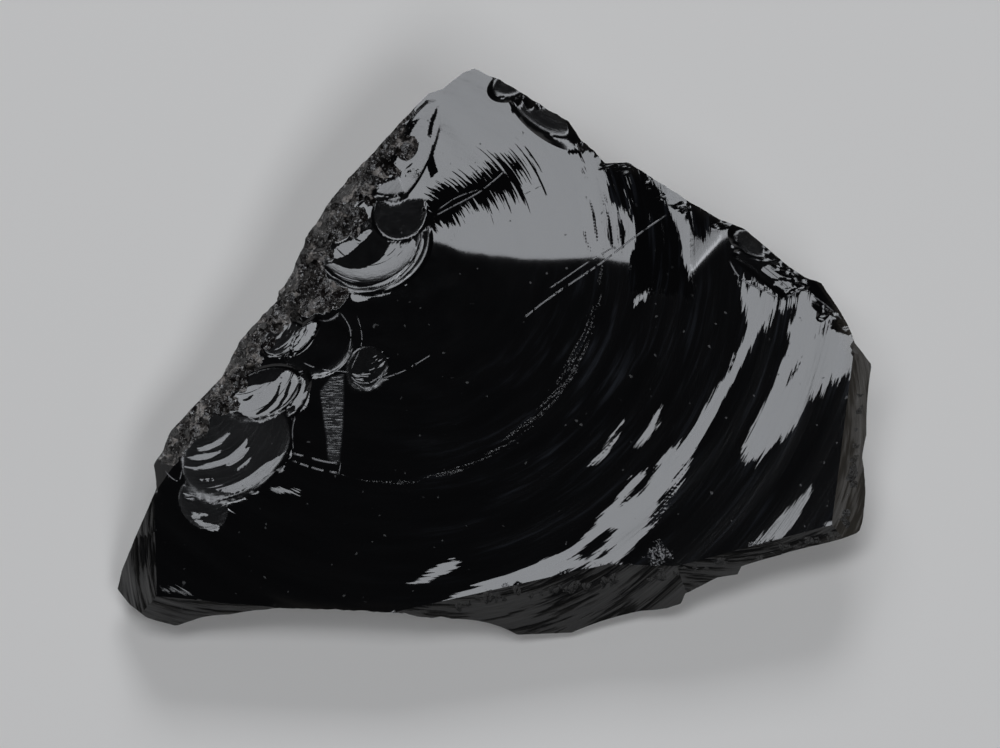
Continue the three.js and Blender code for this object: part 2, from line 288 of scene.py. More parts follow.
# Fine lines of painted highlight in the main face, where narrow ribs and edges shine: half width, then
# the points that the line runs through.
HIGHLIGHT_LINES = [
    (0.12, [(5.5, 5.2), (9, 8), (13, 10.7), (18, 14), (23, 18), (28.3, 21.7)]),
    (0.09, [(9, 9.5), (12, 11.5), (15.5, 14), (19.5, 16.3)]),
    (0.14, [(-31.7, -16.5), (-29, -17.2), (-26.5, -17.9), (-24, -18.2)]),
    (0.14, [(-31.7, -17.7), (-29.5, -18.5), (-27, -19.3), (-24.2, -19.7)]),
    (0.07, [(-23.9, -17.8), (-24, -19), (-24.3, -20)]),
    (0.08, [(-17, -4.5), (-15, -3.9), (-13, -3), (-9.5, -0.8)]),
    (0.09, [(-24, 6), (-22.6, 4.2), (-22.2, 2.5), (-22.5, 0), (-23, -1.8)]),
    (0.06, [(-21.3, 5.5), (-20.5, 3.2), (-20.5, 0.5), (-21.7, -1.8), (-22.3, -3.3)]),
    (0.09, [(-30, -2), (-28, -2.9), (-26, -3.3), (-24, -3.4), (-22.5, -3.6)]),
    (0.12, [(-22.5, -3.7), (-21.5, -5.2), (-19.5, -5.4), (-17.5, -4.3), (-16.2, -2.5)]),
    (0.09, [(-22, -5), (-20.5, -6), (-19.5, -6.5), (-18, -5.2), (-17, -3.8)]),
    (0.07, [(-22.3, -4.2), (-20.5, -4), (-19.5, -3)]),
    (0.10, [(-9, 21.3), (-6, 23), (-2, 25), (0.5, 27), (2.5, 28.8)]),
    (0.08, [(-8.5, 22.3), (-5.5, 24.5), (-1.8, 25.7)]),
    (0.06, [(5, 24.7), (7, 25.7), (8.5, 26.5)]),
    (0.14, [(-27.5, 4.8), (-26, 4.6), (-24.8, 5.2), (-24, 6)]),
    (0.08, [(-31, -10.3), (-31.7, -12.5), (-31.5, -16)]),
    (0.12, [(38.3, 14.3), (39.5, 12), (41, 10.8), (44, 9.4), (46.7, 8.1), (50, 9.8)]),
    (0.09, [(50, 9.8), (53.5, 7.5), (57, 4.3)]),
    (0.08, [(-52.3, -19), (-51, -20.5), (-49.7, -21.2), (-49.2, -19)]),
]
# Crushed line round the percussion point: bearing in degrees, radius and half width.
CRUSHED_RING = np.array([
    (-170, 37.0, -1.0), (-115, 37.2, 0.0), (-100, 37.2, 0.15), (-90, 37.0, 0.2), (-77, 36.4, 0.3),
    (-62, 35.3, 0.5), (-49, 34.3, 0.7), (-37, 33.3, 0.8), (-29, 32.9, 0.8), (-20, 32.6, 0.6),
    (-12, 32.4, 0.3), (0, 32.4, 0.0), (10, 32.4, -1.0), (190, 32.4, -1.0),
])
# Crushed spots on the main face: by the lower ridge, and along the ridges of its bevels.
CRUSHED_SPOTS = [
    [(24.8, -33.8), (25, -31.5), (27, -30.5), (28.7, -32), (28.3, -34.6), (26, -35)],
    [(-13.5, -42.8), (-9, -41), (-3, -39.5), (5, -37.5), (11, -36), (17.5, -34.5), (24, -34.5),
     (33, -35.3), (24, -35.8), (17.5, -35.7), (11, -37.5), (2, -39.8), (-6, -41.8)],
    [(41, -32.3), (43, -30.7), (47.5, -30), (49, -31), (45, -32)],
]
HACKLE_COLUMN = [
    (-25.5, -4.3), (-23.3, -3.7), (-23.3, -8), (-23.5, -13), (-24, -18), (-26, -17.8), (-26.3, -14),
    (-27, -9), (-27.3, -6.5),
]
BROW = np.array([                # lower border of the bright top of the face: x, y
    (-30, 19.5), (-10.5, 17.8), (-5, 16), (0, 15), (8, 14.3), (17, 14.7), (24, 13.5), (31.8, 11.8),
    (37, 17.5), (45, 22.5),
])
BROW_SLOPE = 0.150               # how steeply the top of the face leans back
RING_RIPPLE = 0.012              # height of the faint ripples round the percussion point


def polar(x, y, centre):
    """Distance from a centre and bearing round it, in radians from the direction of x."""
    dx = x - centre[0]
    dy = y - centre[1]
    return np.hypot(dx, dy), np.arctan2(dy, dx)


def main_face(x, y):
    """The main face: level, its top leaning back beyond the brow, with ripples in rings round
    the percussion point, whose rings run a little in and out with the bearing."""
    radius, bearing = polar(x, y, PERCUSSION)
    brow = np.interp(x, BROW[:, 0], BROW[:, 1])
    lean = BROW_SLOPE * soft_ramp(y - brow, 0.7)
    ring = radius + 1.5 * np.sin(3.0 * bearing) + 0.8 * np.sin(7.0 * bearing + 1.0)
    ripple = np.sin(ring * 0.80) + 0.5 * np.sin(ring * 1.31 + 2.0)
    return RING_RIPPLE * ripple - lean


def flake_scars():
    """The flake scars on the face, one row each: centre x, y, half length, half width, turn in
    degrees, flat part of the floor, slope of its sides, slope of its floor along x and y, how
    far it is sunk, strength of its ribs, and the centre x, y of its rings."""
    return np.array([
        # crescent: an outer step, the bowl inside it and the small dark bowl above
        (-19.8, 18.9, 10.6, 10.2, 0, 0.90, 0.10, 0.0, 0.09, 0.03, 0.1, -19.8, 18.9),
        (-19.8, 18.9, 9.1, 8.8, 0, 0.80, 0.08, 0.0, 0.09, 0.16, 0.25, -19.8, 20.0),
        (-14.4, 21.9, 4.6, 4.3, 60, 1.0, 0.02, 0.0, 0.12, 0.30, 0.1, -16.0, 24.0),
        # spike, and the facet at its foot
        (-12.3, 31.8, 9.2, 2.9, 66, 0.9, 0.10, 0.0, 0.0, 0.12, 0.3, -12.0, 28.0),
        (-15.0, 26.2, 3.3, 1.5, 12, 0.8, 0.1, 0.16, 0.05, 0.3, 0.4, -20.0, 30.0),
        # scars in the middle of the rim: grey facet, dark scar and bright leaf
        (-33.2, 1.8, 3.6, 2.4, 30, 0.9, 0.1, 0.0, 0.0, 0.35, 0.7, -37.0, 6.0),
        (-27.4, 0.4, 5.6, 4.6, 20, 0.8, 0.10, 0.0, 0.0, 0.06, 0.1, -34.0, 5.0),
        (-29.7, 2.2, 3.1, 1.2, 52, 0.9, 0.1, 0.0, 0.0, 0.45, 0.1, -34.0, 5.0),
        # upper ribbed scar and its narrow neighbour
        (-36.4, -7.0, 6.4, 3.8, 24, 0.9, 0.06, 0.0, 0.0, 0.42, 0.55, -40.5, -0.6),
        (-30.8, -7.0, 3.6, 1.5, 68, 0.9, 0.08, 0.0, 0.0, 0.3, 0.55, -36.5, -2.5),
        # lower ribbed scar, the one under it, and the fan-shaped scar
        (-40.6, -15.8, 9.8, 7.3, 38, 0.85, 0.06, 0.0, 0.0, 0.28, 1.0, -46.5, -8.4),
        (-45.9, -24.6, 4.6, 3.6, -50, 0.8, 0.05, 0.0, 0.0, 0.02, 1.0, -47.6, -17.6),
        (-19.7, -2.9, 3.7, 3.3, 60, 0.8, 0.04, 0.0, 0.0, 0.02, 0.5, -20.5, 1.5),
        # chip right of the top point, and the scars of the upper right edge
        (3.4, 42.8, 3.4, 2.2, 20, 0.8, 0.2, 0.0, 0.14, 0.4, 0.4, 3.0, 48.0),
        (7.8, 38.3, 6.0, 2.5, -38, 0.8, 0.15, -0.02, 0.13, 0.45, 0.5, 13.0, 44.0),
        (41.6, 17.0, 3.2, 1.6, -40, 0.8, 0.15, 0.0, 0.0, 0.25, 0.5, 46.0, 22.0),
        (12.3, 36.4, 2.6, 1.3, -10, 0.7, 0.2, 0.0, 0.12, 0.4, 0.4, 13.0, 39.0),
    ])


SCAR_SIZES = 13                  # numbers in a scar's row


def crumbs(rng, count, start, end, spread, size):
    """Small random scars along a line: centres spread evenly along it and at random across,
    in the same rows as flake_scars."""
    along = rng.uniform(0, 1, count)[:, None]
    line = np.array(end) - np.array(start)
    across = np.array([line[1], -line[0]]) / np.hypot(*line)
    centre = np.array(start) + along * line + across * rng.uniform(-1, 1, (count, 1)) * spread
    half = size * rng.uniform(0.35, 1.0, count) ** 1.5
    rows = np.zeros((count, SCAR_SIZES))
    rows[:, :2] = centre
    rows[:, 2] = half
    rows[:, 3] = half * rng.uniform(0.45, 0.9, count)
    rows[:, 4] = rng.uniform(0, 180, count)
    rows[:, 5] = rng.uniform(0.1, 0.6, count)
    rows[:, 6] = rng.uniform(0.3, 0.9, count)
    rows[:, 7:9] = rng.uniform(-0.35, 0.35, (count, 2))
    rows[:, 9] = half * rng.uniform(0.0, 0.12, count)
    rows[:, 10] = rng.uniform(0.0, 0.6, count)
    rows[:, 11:] = centre + across * half[:, None] * 1.2
    return rows


LIP_SLOPE = 1.0                  # how steeply a scar's edge stands


def under_scars(scars, lay, x, y):
    """Height of each scar: the surface it bit into, carried on as a plane from the scar's
    middle and tilted by the floor's own slope, less how far it is sunk; the floor is flat at
    first and then rises evenly to the edge, where a steep lip begins."""
    turn = np.radians(scars[:, 4])[:, None]
    dx = x[None, :] - scars[:, 0][:, None]
    dy = y[None, :] - scars[:, 1][:, None]
    u = (dx * np.cos(turn) + dy * np.sin(turn)) / scars[:, 2][:, None]
    v = (dy * np.cos(turn) - dx * np.sin(turn)) / scars[:, 3][:, None]
    out = np.hypot(u, v)
    wide = scars[:, 3][:, None]
    flat, rise = scars[:, 5][:, None], scars[:, 6][:, None]
    floor = rise * wide * (soft_ramp(out - flat, 0.06) - (1.0 - flat)) - scars[:, 9][:, None]
    lip = LIP_SLOPE * wide * soft_ramp(out - 1.0, 0.02)
    level, slope_x, slope_y = lay
    across = (slope_x + scars[:, 7])[:, None] * dx + (slope_y + scars[:, 8])[:, None] * dy
    return level[:, None] + across + floor + lip


def struck_face(x, y):
    """The main face and the bevels struck off its edges, as one row of heights for each."""
    rows = [main_face(x, y)]
    for facets in BEVELS:
        rows.append(np.max([plane_under(f, x, y) for f in facets], axis=0))
    return np.array(rows)


RNG = np.random.default_rng(11)
CRISP_SCARS = len(flake_scars())
RIM_CRUMBS = 150                 # the scars after the crisp ones are the crushed rim's
RIDGE_CRUMBS = 90                # the last scars are those of the bevels' ridges
SCARS = np.vstack([
    flake_scars(),
    crumbs(RNG, 70, (-16.0, 35.0), (-33.0, 9.0), 3.6, 2.6),     # crushed rim, upper
    crumbs(RNG, 80, (-33.0, 8.0), (-53.0, -16.0), 3.4, 2.6),    # crushed rim, lower
    crumbs(RNG, 26, (2.0, 43.0), (18.0, 31.0), 0.9, 1.6),       # edge right of the top point
    crumbs(RNG, 34, (18.0, 30.5), (46.0, 14.5), 0.6, 1.1),      # upper right edge
    crumbs(RNG, 22, (46.0, 14.0), (60.0, 0.0), 0.8, 1.4),
    crumbs(RNG, 40, (-8.0, -41.0), (34.0, -35.0), 0.6, 0.9),    # ridge of the lower bevel
    crumbs(RNG, 26, (34.0, -35.0), (57.0, -29.5), 0.5, 0.8),
    crumbs(RNG, 24, (57.0, -29.0), (60.0, -4.0), 0.5, 0.8),     # ridge of the thin right edge
])


def scar_lay(scars):
    """Height and slope, by small differences, of the struck face under each scar's middle."""
    nudge = 0.2
    x, y = scars[:, 0], scars[:, 1]
    level = struck_face(x, y).min(0)
    slope_x = (struck_face(x + nudge, y).min(0) - struck_face(x - nudge, y).min(0)) / (2 * nudge)
    slope_y = (struck_face(x, y + nudge).min(0) - struck_face(x, y - nudge).min(0)) / (2 * nudge)
    return level, slope_x, slope_y


LAY = scar_lay(SCARS)


def face_layers(x, y):
    """Every surface that bounds the lump from the front, one row of heights for each."""
    return np.vstack([struck_face(x, y), under_scars(SCARS, LAY, x, y)])


def outline_reach(angle):
    """Distance from the map centre to the outline in each direction, where the ray crosses
    one of the outline's straight sides, less small scallops along the broken edge."""
    corners = OUTLINE - MAP_CENTRE
    bearing = np.mod(np.arctan2(corners[:, 1], corners[:, 0]), 2 * np.pi)
    order = np.argsort(bearing)
    corners, bearing = corners[order], bearing[order]
    angle = np.mod(angle, 2 * np.pi)
    first = (np.searchsorted(bearing, angle, side="right") - 1) % len(corners)
    start = corners[first]
    side = corners[(first + 1) % len(corners)] - start
    ray = np.stack([np.cos(angle), np.sin(angle)], axis=-1)
    crossing = start[..., 0] * side[..., 1] - start[..., 1] * side[..., 0]
    reach = crossing / (ray[..., 0] * side[..., 1] - ray[..., 1] * side[..., 0])
    return reach - scallops(angle)


SCALLOP_ENDS = np.sort(np.random.default_rng(5).uniform(0, 2 * np.pi, 260))
SCALLOP_REACH = 40.0             # mm of edge to a radian, near enough for the scallops
SCALLOP_SPAN = 16.0              # length of a scallop over its depth


def scallops(angle):
    """Small bites along the outline: between two random ends each bite is an arch, as deep
    in the middle as a sixteenth of its length."""
    ends = np.concatenate([SCALLOP_ENDS, SCALLOP_ENDS[:1] + 2 * np.pi])
    first = np.clip(np.searchsorted(ends, angle, side="right") - 1, 0, len(ends) - 2)
    length = ends[first + 1] - ends[first]
    part = np.clip((angle - ends[first]) / length, 0, 1)
    return SCALLOP_REACH * length / SCALLOP_SPAN * 4.0 * part * (1.0 - part)


def side_scars():
    """Bowl-shaped scars in the sides, as balls: centre x, y, z and radius."""
    return np.array([
        (47.0, 47.0, -21.0, 29.0), (22.0, 62.0, -25.0, 26.0), (-39.0, 46.0, -23.0, 26.0),
        (-66.0, 12.0, -24.0, 27.0), (-84.0, -27.0, -19.0, 28.0), (-28.0, -72.0, -21.0, 31.0),
        (30.0, -74.0, -27.0, 37.0), (86.0, -8.0, -27.0, 34.0),
    ])


def ball_reach(balls, angle, z):
    """How far out the lump goes before it meets each ball: where the ray enters the circle
    that the ball has at that height, or nowhere."""
    bx = balls[:, 0][:, None] - MAP_CENTRE[0]
    by = balls[:, 1][:, None] - MAP_CENTRE[1]
    circle = balls[:, 3][:, None] ** 2 - (z[None, :] - balls[:, 2][:, None]) ** 2
    ahead = bx * np.cos(angle) + by * np.sin(angle)
    beside = by * np.cos(angle) - bx * np.sin(angle)
    inside = circle - beside ** 2
    enters = ahead - np.sqrt(np.maximum(inside, 0.0))
    return np.where((inside > 0) & (ahead > 0), enters, NOWHERE)


def struck_sides(angle, z):
    """The outline and the side facets, one row of distances for each."""
    rows = [outline_reach(angle)]
    for facets in SIDES:
        rows.append(np.max([plane_reach(f, angle, z) for f in facets], axis=0))
    return np.array(rows)


def main_sides(angle, z):
    """How far out the sides lie, with their large scars."""
    return np.minimum(struck_sides(angle, z).min(0), ball_reach(side_scars(), angle, z).min(0))


def side_outwards(angle, z):
    """The direction square to the sides, as x, y, z: outwards along the ray, less the reach's
    change round the lump over the reach, less its change with height."""
    turn, nudge = 0.03, 0.5
    change = (main_sides(angle + turn, z) - main_sides(angle - turn, z)) / (2 * turn)
    change = change / main_sides(angle, z)
    drop = (main_sides(angle, z + nudge) - main_sides(angle, z - nudge)) / (2 * nudge)
    out = np.column_stack([np.cos(angle) + change * np.sin(angle),
                           np.sin(angle) - change * np.cos(angle), -drop])
    return out / np.linalg.norm(out, axis=1)[:, None]


UNDER_RIM = 1.5                  # the flakes on the sides end this far below the rim


def side_flakes(rng, count):
    """Shallow bowl-shaped scars that overlap all over the sides, as balls. Each bites in by a
    small depth in a random direction. Its half height is the root of twice the radius times
    the bite, and it lies at random between the flat back and just under the rim."""
    angle = rng.uniform(0, 2 * np.pi, count)
    radius = rng.uniform(12.0, 34.0, count)
    bite = rng.uniform(0.5, 1.4, count)
    x, y = place(outline_reach(angle), angle)
    rim = face_layers(x, y).min(0) - UNDER_RIM
    half_height = np.sqrt(2 * radius * bite)
    spare = np.maximum(rim + THICKNESS + y * math.tan(FACE_LEAN) - 2 * half_height, 0)
    z = rim - half_height - rng.uniform(0, 1, count) * spare
    surface = np.column_stack([*place(main_sides(angle, z), angle), z])
    return np.column_stack([surface + side_outwards(angle, z) * (radius - bite)[:, None], radius])


def place(reach, angle):
    """The points at a distance from the map centre in each direction."""
    return MAP_CENTRE[0] + reach * np.cos(angle), MAP_CENTRE[1] + reach * np.sin(angle)


SIDE_BALLS = np.vstack([side_scars(), side_flakes(np.random.default_rng(23), 30)])


def side_layers(angle, z):
    """Every surface that bounds the lump from the side, one row of distances for each."""
    return np.vstack([struck_sides(angle, z), ball_reach(SIDE_BALLS, angle, z)])


def back_height(x, y):
    """Height of the flat back: a plane that leans against the face."""
    return -THICKNESS - y * math.tan(FACE_LEAN)


# ---------------------------------------------------------------- grids
def rim_reach(angle):
    """Where the face meets the sides: the reach at which the side at the face's own height
    is just as far out, found by halving."""
    low = 0.4 * outline_reach(angle)
    high = outline_reach(angle) + 0.5
    for _ in range(RIM_HALVINGS):
        middle = (low + high) / 2
        x, y = place(middle, angle)
        inside = side_layers(angle, face_layers(x, y).min(0)).min(0) > middle
        low = np.where(inside, middle, low)
        high = np.where(inside, high, middle)
    return low


RIM_ANGLES = np.linspace(0, 2 * np.pi, 8 * FACE_CELLS, endpoint=False)
RIM = rim_reach(RIM_ANGLES)


def between(angle, reach):
    """A reach in any direction, between the reaches worked out in RIM_ANGLES."""
    directions = np.append(RIM_ANGLES, 2 * np.pi)
    return np.interp(np.mod(angle, 2 * np.pi), directions, np.append(reach, reach[0]))


def rim_at(angle):
    """The rim's reach in any direction."""
    return between(angle, RIM)


def smooth_rim_at(angle):
    """The rim with its chips averaged out, which the inner rows of the face grid follow."""
    window = np.hanning(61)
    wrapped = np.concatenate([RIM[-30:], RIM, RIM[:30]])
    return between(angle, np.convolve(wrapped, window / window.sum(), mode="valid"))


def disc(s, t):
    """Takes the square from -1 to 1 to the unit disc, each square ring to a circle: the
    distance is the larger of s and t, the angle runs evenly along the square's sides."""
    wide = np.abs(s) >= np.abs(t)
    reach = np.where(wide, s, t)
    safe = np.where(reach == 0, 1.0, reach)
    quarter = np.pi / 4
    angle = np.where(wide, quarter * t / safe, np.pi / 2 - quarter * s / safe)
    angle = np.where(reach < 0, angle + np.pi, angle)
    return np.abs(reach), angle


def face_point(s, t):
    """The drawing point of each grid parameter: the disc stretched to the rim, its inner
    circles to the smoothed rim."""
    reach, angle = disc(s, t)
    even = smooth_rim_at(angle)
    stretch = even + (rim_at(angle) - even) * reach ** 10
    return place(reach * stretch, angle)


def snap(s, t, layers, cell, free):
    """Moves each free grid point that lies within half a cell of a ridge on to it. The two
    lowest layers meet there, so the step is their gap over its rate of change, taken along
    whichever grid direction crosses the ridge more squarely."""
    here = layers(s, t)
    lowest = np.argpartition(here, 1, axis=0)[:2]
    pick = np.arange(here.shape[1])
    gap = here[lowest[1], pick] - here[lowest[0], pick]
    rates = []
    for ds, dt in ((cell[0] / 8, 0.0), (0.0, cell[1] / 8)):
        there = layers(s + ds, t + dt)
        change = there[lowest[1], pick] - there[lowest[0], pick] - gap
        rates.append(change / (ds + dt) * cell[0 if ds else 1])
    rates = np.array(rates)
    across = np.abs(rates[0]) >= np.abs(rates[1])
    rate = np.where(across, rates[0], rates[1])
    step = -gap / np.where(np.abs(rate) < 1e-9, 1e-9, rate)
    near = free & (np.abs(step) < 0.5)
    s = s + np.where(near & across, step * cell[0], 0.0)
    t = t + np.where(near & ~across, step * cell[1], 0.0)
    return s, t


def face_grid():
    """The front surface: the points of the face grid, those near a ridge moved on to it."""
    line = np.linspace(-1, 1, FACE_CELLS + 1)
    t, s = [a.ravel() for a in np.meshgrid(line, line, indexing="ij")]
    free = (np.abs(s) < 1 - 1e-9) & (np.abs(t) < 1 - 1e-9)
    cell = (2 / FACE_CELLS, 2 / FACE_CELLS)
    s, t = snap(s, t, lambda a, b: face_layers(*face_point(a, b)), cell, free)
    x, y = face_point(s, t)
    return np.column_stack([x, y, face_layers(x, y).min(0)])


def side_point(column, row):
    """The direction of each column, and the height of each row's point between the rim and
    the flat back, whose foot is found by halving."""
    angle = column * 2 * np.pi / (4 * FACE_CELLS)
    rim = rim_at(angle)
    x, y = place(rim, angle)
    top = face_layers(x, y).min(0)
    low, high = back_height(x, y) - 25.0, top.copy()
    for _ in range(FOOT_HALVINGS):
        middle = (low + high) / 2
        reach = np.minimum(side_layers(angle, middle).min(0), rim + 3)
        above = middle > back_height(*place(reach, angle))
        high = np.where(above, middle, high)
        low = np.where(above, low, middle)
    return angle, top + (high - top) * row


def side_grid():
    """The sides: rows of points from just under the rim down to the edge of the flat back."""
    columns = 4 * FACE_CELLS
    row, column = [a.ravel() for a in np.meshgrid(np.arange(1, SIDE_ROWS + 1) / SIDE_ROWS,
                                                  np.arange(columns), indexing="ij")]
    angle, z = side_point(column.astype(float), row)
    x, y = place(side_layers(angle, z).min(0), angle)
    return np.column_stack([x, y, z])


def face_rim_indices():
    """Face grid indices round its border, counter-clockwise from the direction of x."""
    n = FACE_CELLS
    half = n // 2
    right = [(j, n) for j in range(half, n)]
    top = [(n, i) for i in range(n, 0, -1)]
    left = [(j, 0) for j in range(n, 0, -1)]
    bottom = [(0, i) for i in range(0, n)]
    last = [(j, n) for j in range(0, half)]
    ring = np.array(right + top + left + bottom + last)
    return ring[:, 0] * (n + 1) + ring[:, 1]


def split(points, quads, height):
    """Cuts each quad in two along the diagonal whose middle lies closer to the surface."""
    a, b, c, d = [points[quads[:, k]] for k in range(4)]
    target = height((a + b + c + d) / 4)
    one = np.abs(((a + c) / 2)[:, 2] - target)
    other = np.abs(((b + d) / 2)[:, 2] - target)
    first = (one <= other)[:, None]
    left = np.where(first, quads[:, [0, 1, 2]], quads[:, [0, 1, 3]])
    right = np.where(first, quads[:, [0, 2, 3]], quads[:, [1, 2, 3]])
    return np.vstack([left, right])


def lump():
    """All points and triangles of the lump: the face grid, the rows of the sides hung from
    its border, and rings that close the flat back."""
    face = face_grid()
    side = side_grid()
    n = FACE_CELLS
    columns = 4 * n
    cells = np.arange(n)
    j, i = [a.ravel() for a in np.meshgrid(cells, cells, indexing="ij")]
    corner = j * (n + 1) + i
    quads = np.column_stack([corner, corner + 1, corner + n + 2, corner + n + 1])
    front = split(face, quads, lambda p: face_layers(p[:, 0], p[:, 1]).min(0))
    hung = len(face) + np.arange(SIDE_ROWS * columns).reshape(SIDE_ROWS, columns)
    foot = side[-columns:]
    centre = foot.mean(0)
    inner = [centre + (foot - centre) * (1 - k / BACK_RINGS) for k in range(1, BACK_RINGS)]
    points = np.vstack([face, side] + inner + [centre[None, :]])
    start = len(face) + len(side)
    closing = start + np.arange((BACK_RINGS - 1) * columns).reshape(BACK_RINGS - 1, columns)
    rings = np.vstack([face_rim_indices(), hung, closing])
    nxt = np.roll(rings, -1, axis=1)
    band = np.stack([rings[:-1], rings[1:], nxt[1:], nxt[:-1]], axis=-1).reshape(-1, 4)
    around = np.vstack([band[:, [0, 1, 2]], band[:, [0, 2, 3]]])
    cap = np.column_stack([rings[-1], np.full(columns, len(points) - 1), nxt[-1]])
    return points, np.vstack([front, around, cap])


def lay_down(points):
    """Turns the drawing frame so that the back lies level, in metres, with the bottom centre
    of its box at the origin."""
    x, y, z = points.T
    c, s = math.cos(FACE_LEAN), math.sin(FACE_LEAN)
    laid = np.column_stack([x, y * c - z * s, y * s + z * c]) * MM
    low, high = laid.min(0), laid.max(0)
    settle = np.array([(low[0] + high[0]) / 2, (low[1] + high[1]) / 2, low[2]])
    return laid - settle, settle


POINTS, TRIANGLES = lump()
LAID, SETTLE = lay_down(POINTS)


# ---------------------------------------------------------------- what lies where on the lump
RING_STRETCH = 12.0              # mm of patch outline to a radian round the percussion point
COMB_STRETCH = 5.0               # the same for the comb, which lies close to that point
FAR = -9.0                       # depth inside a patch, far outside every patch
OFF_LINE = 99.0                  # distance across a line, in half widths, far from every line


def depth_inside(x, y, outline):
    """How far inside a closed outline each point lies, below zero outside: the distance to
    the nearest side, with a sign that flips at every side crossed by a ray along x."""
    corners = np.array(outline, dtype=float)
    start, side = corners, np.roll(corners, -1, axis=0) - corners
    dx = x[:, None] - start[:, 0]
    dy = y[:, None] - start[:, 1]
    part = np.clip((dx * side[:, 0] + dy * side[:, 1]) / np.maximum((side ** 2).sum(1), 1e-12), 0, 1)
    nearest = np.hypot(dx - part * side[:, 0], dy - part * side[:, 1]).min(1)
    straddles = (dy >= 0) != (dy - side[:, 1] >= 0)
    rise = np.where(np.abs(side[:, 1]) < 1e-12, 1e-12, side[:, 1])
    crossed = straddles & (dx < dy / rise * side[:, 0])
    return np.where(crossed.sum(1) % 2 == 1, nearest, -nearest)


def in_rings(x, y, stretch):
    """Ring coordinates in mm: the distance from the percussion point, and the bearing round
    it, cut off behind the point, times the stretch."""
    radius, bearing = polar(x, y, PERCUSSION)
    turned = np.mod(bearing - np.pi * 0.85, 2 * np.pi) + np.pi * 0.85 - 2 * np.pi
    return radius, turned * stretch


def densely(outline):
    """The same outline with four points on each side, so that it bends with the rings."""
    corners = np.array(outline, dtype=float)
    side = np.roll(corners, -1, axis=0) - corners
    return (corners[:, None, :] + side[:, None, :] * (np.arange(4) / 4)[None, :, None]).reshape(-1, 2)


def rounded(points, closed):
    """Cuts the corners of a line or an outline three times over, each time a quarter of the
    way along the stretches on both sides; a line keeps its ends."""
    points = np.array(points, dtype=float)
    for _ in range(3):
        ahead = np.roll(points, -1, axis=0) if closed else points[1:]
        behind = points if closed else points[:-1]
        cut = np.stack([0.75 * behind + 0.25 * ahead, 0.25 * behind + 0.75 * ahead], axis=1)
        cut = cut.reshape(-1, 2)
        points = cut if closed else np.vstack([points[:1], cut[1:-1], points[-1:]])
    return points


def deepest(x, y, outlines):
    """How deep each point lies in the deepest of several outlines, their corners rounded."""
    return np.max([depth_inside(x, y, rounded(outline, True)) for outline in outlines], axis=0)


def ring_depth(x, y, outlines, stretch):
    """How deep each point lies in the deepest of several outlines, in ring coordinates."""
    radius, along = in_rings(x, y, stretch)
    depth = np.full(len(x), FAR)
    for outline in outlines:
        corners = densely(outline)
        bent = np.column_stack(in_rings(corners[:, 0], corners[:, 1], stretch))
        depth = np.maximum(depth, depth_inside(radius, along, bent))
    return depth


def line_marks(x, y, middle_x, middle_y):
    """Where each corner lies against the fine line nearest to its triangle's middle: the
    distance across it over its half width, and the distance inside its ends. The corners of
    a triangle all measure from the same stretch of line."""
    stretches = []
    for half_width, points in HIGHLIGHT_LINES:
        points = rounded(points, False)
        steps = np.hypot(*np.diff(points, axis=0).T)
        reached = np.append(0.0, np.cumsum(steps))
        for k in range(len(steps)):
            before, after = reached[k], reached[-1] - reached[k]
            stretches.append((*points[k], *points[k + 1], half_width, before, after))
    x1, y1, x2, y2, half_width, before, after = np.array(stretches).T
    length = np.hypot(x2 - x1, y2 - y1)
    ux, uy = (x2 - x1) / length, (y2 - y1) / length
    along = (middle_x[:, None] - x1) * ux + (middle_y[:, None] - y1) * uy
    off = along - np.clip(along, 0, length)
    across = (middle_y[:, None] - y1) * ux - (middle_x[:, None] - x1) * uy
    near = np.argmin(np.hypot(off, across), axis=1)[:, None].repeat(3, axis=1)
    along = (x - x1[near]) * ux[near] + (y - y1[near]) * uy[near]
    across = (y - y1[near]) * ux[near] - (x - x1[near]) * uy[near]
    inside = np.minimum(before[near] + along, after[near] - along)
    return across / half_width[near], inside


BEVEL_ORIGIN = 38.0              # the bevels' fractures spread from this far inward of a ridge


def fracture_origins():
    """The point that each surface's fracture spread from, one row of x, y for each layer of
    the face: the percussion point, a point far inward of each bevel, each scar's own."""
    bevels = []
    for facets in BEVELS:
        x1, y1, x2, y2 = facets[0][:4]
        inward = BEVEL_ORIGIN / math.hypot(x2 - x1, y2 - y1)
        bevels.append(((x1 + x2) / 2 - (y2 - y1) * inward, (y1 + y2) / 2 + (x2 - x1) * inward))
    return np.vstack([[PERCUSSION], bevels, SCARS[:, 11:13]])


SIDE_ORIGIN_HEIGHT = 6.0         # the sides' fractures spread from this far above the face
SIDE_REACH = 45.0                # mm of side to a radian round the map centre


def side_origins():
    """The bearing from the map centre of the middle of each side surface."""
    middles = [np.array([0.0, 0.0])]
    middles += [np.array([(f[0][0] + f[-1][2]) / 2, (f[0][1] + f[-1][3]) / 2]) for f in SIDES]
    middles += list(SIDE_BALLS[:, :2])
    middles = np.array(middles) - MAP_CENTRE
    return np.arctan2(middles[:, 1], middles[:, 0])


CRUSH_OF_SCAR = np.zeros(len(SCARS))
CRUSH_OF_SCAR[CRISP_SCARS:CRISP_SCARS + RIM_CRUMBS] = 1.0
RIB_OF_SCAR = SCARS[:, 10]


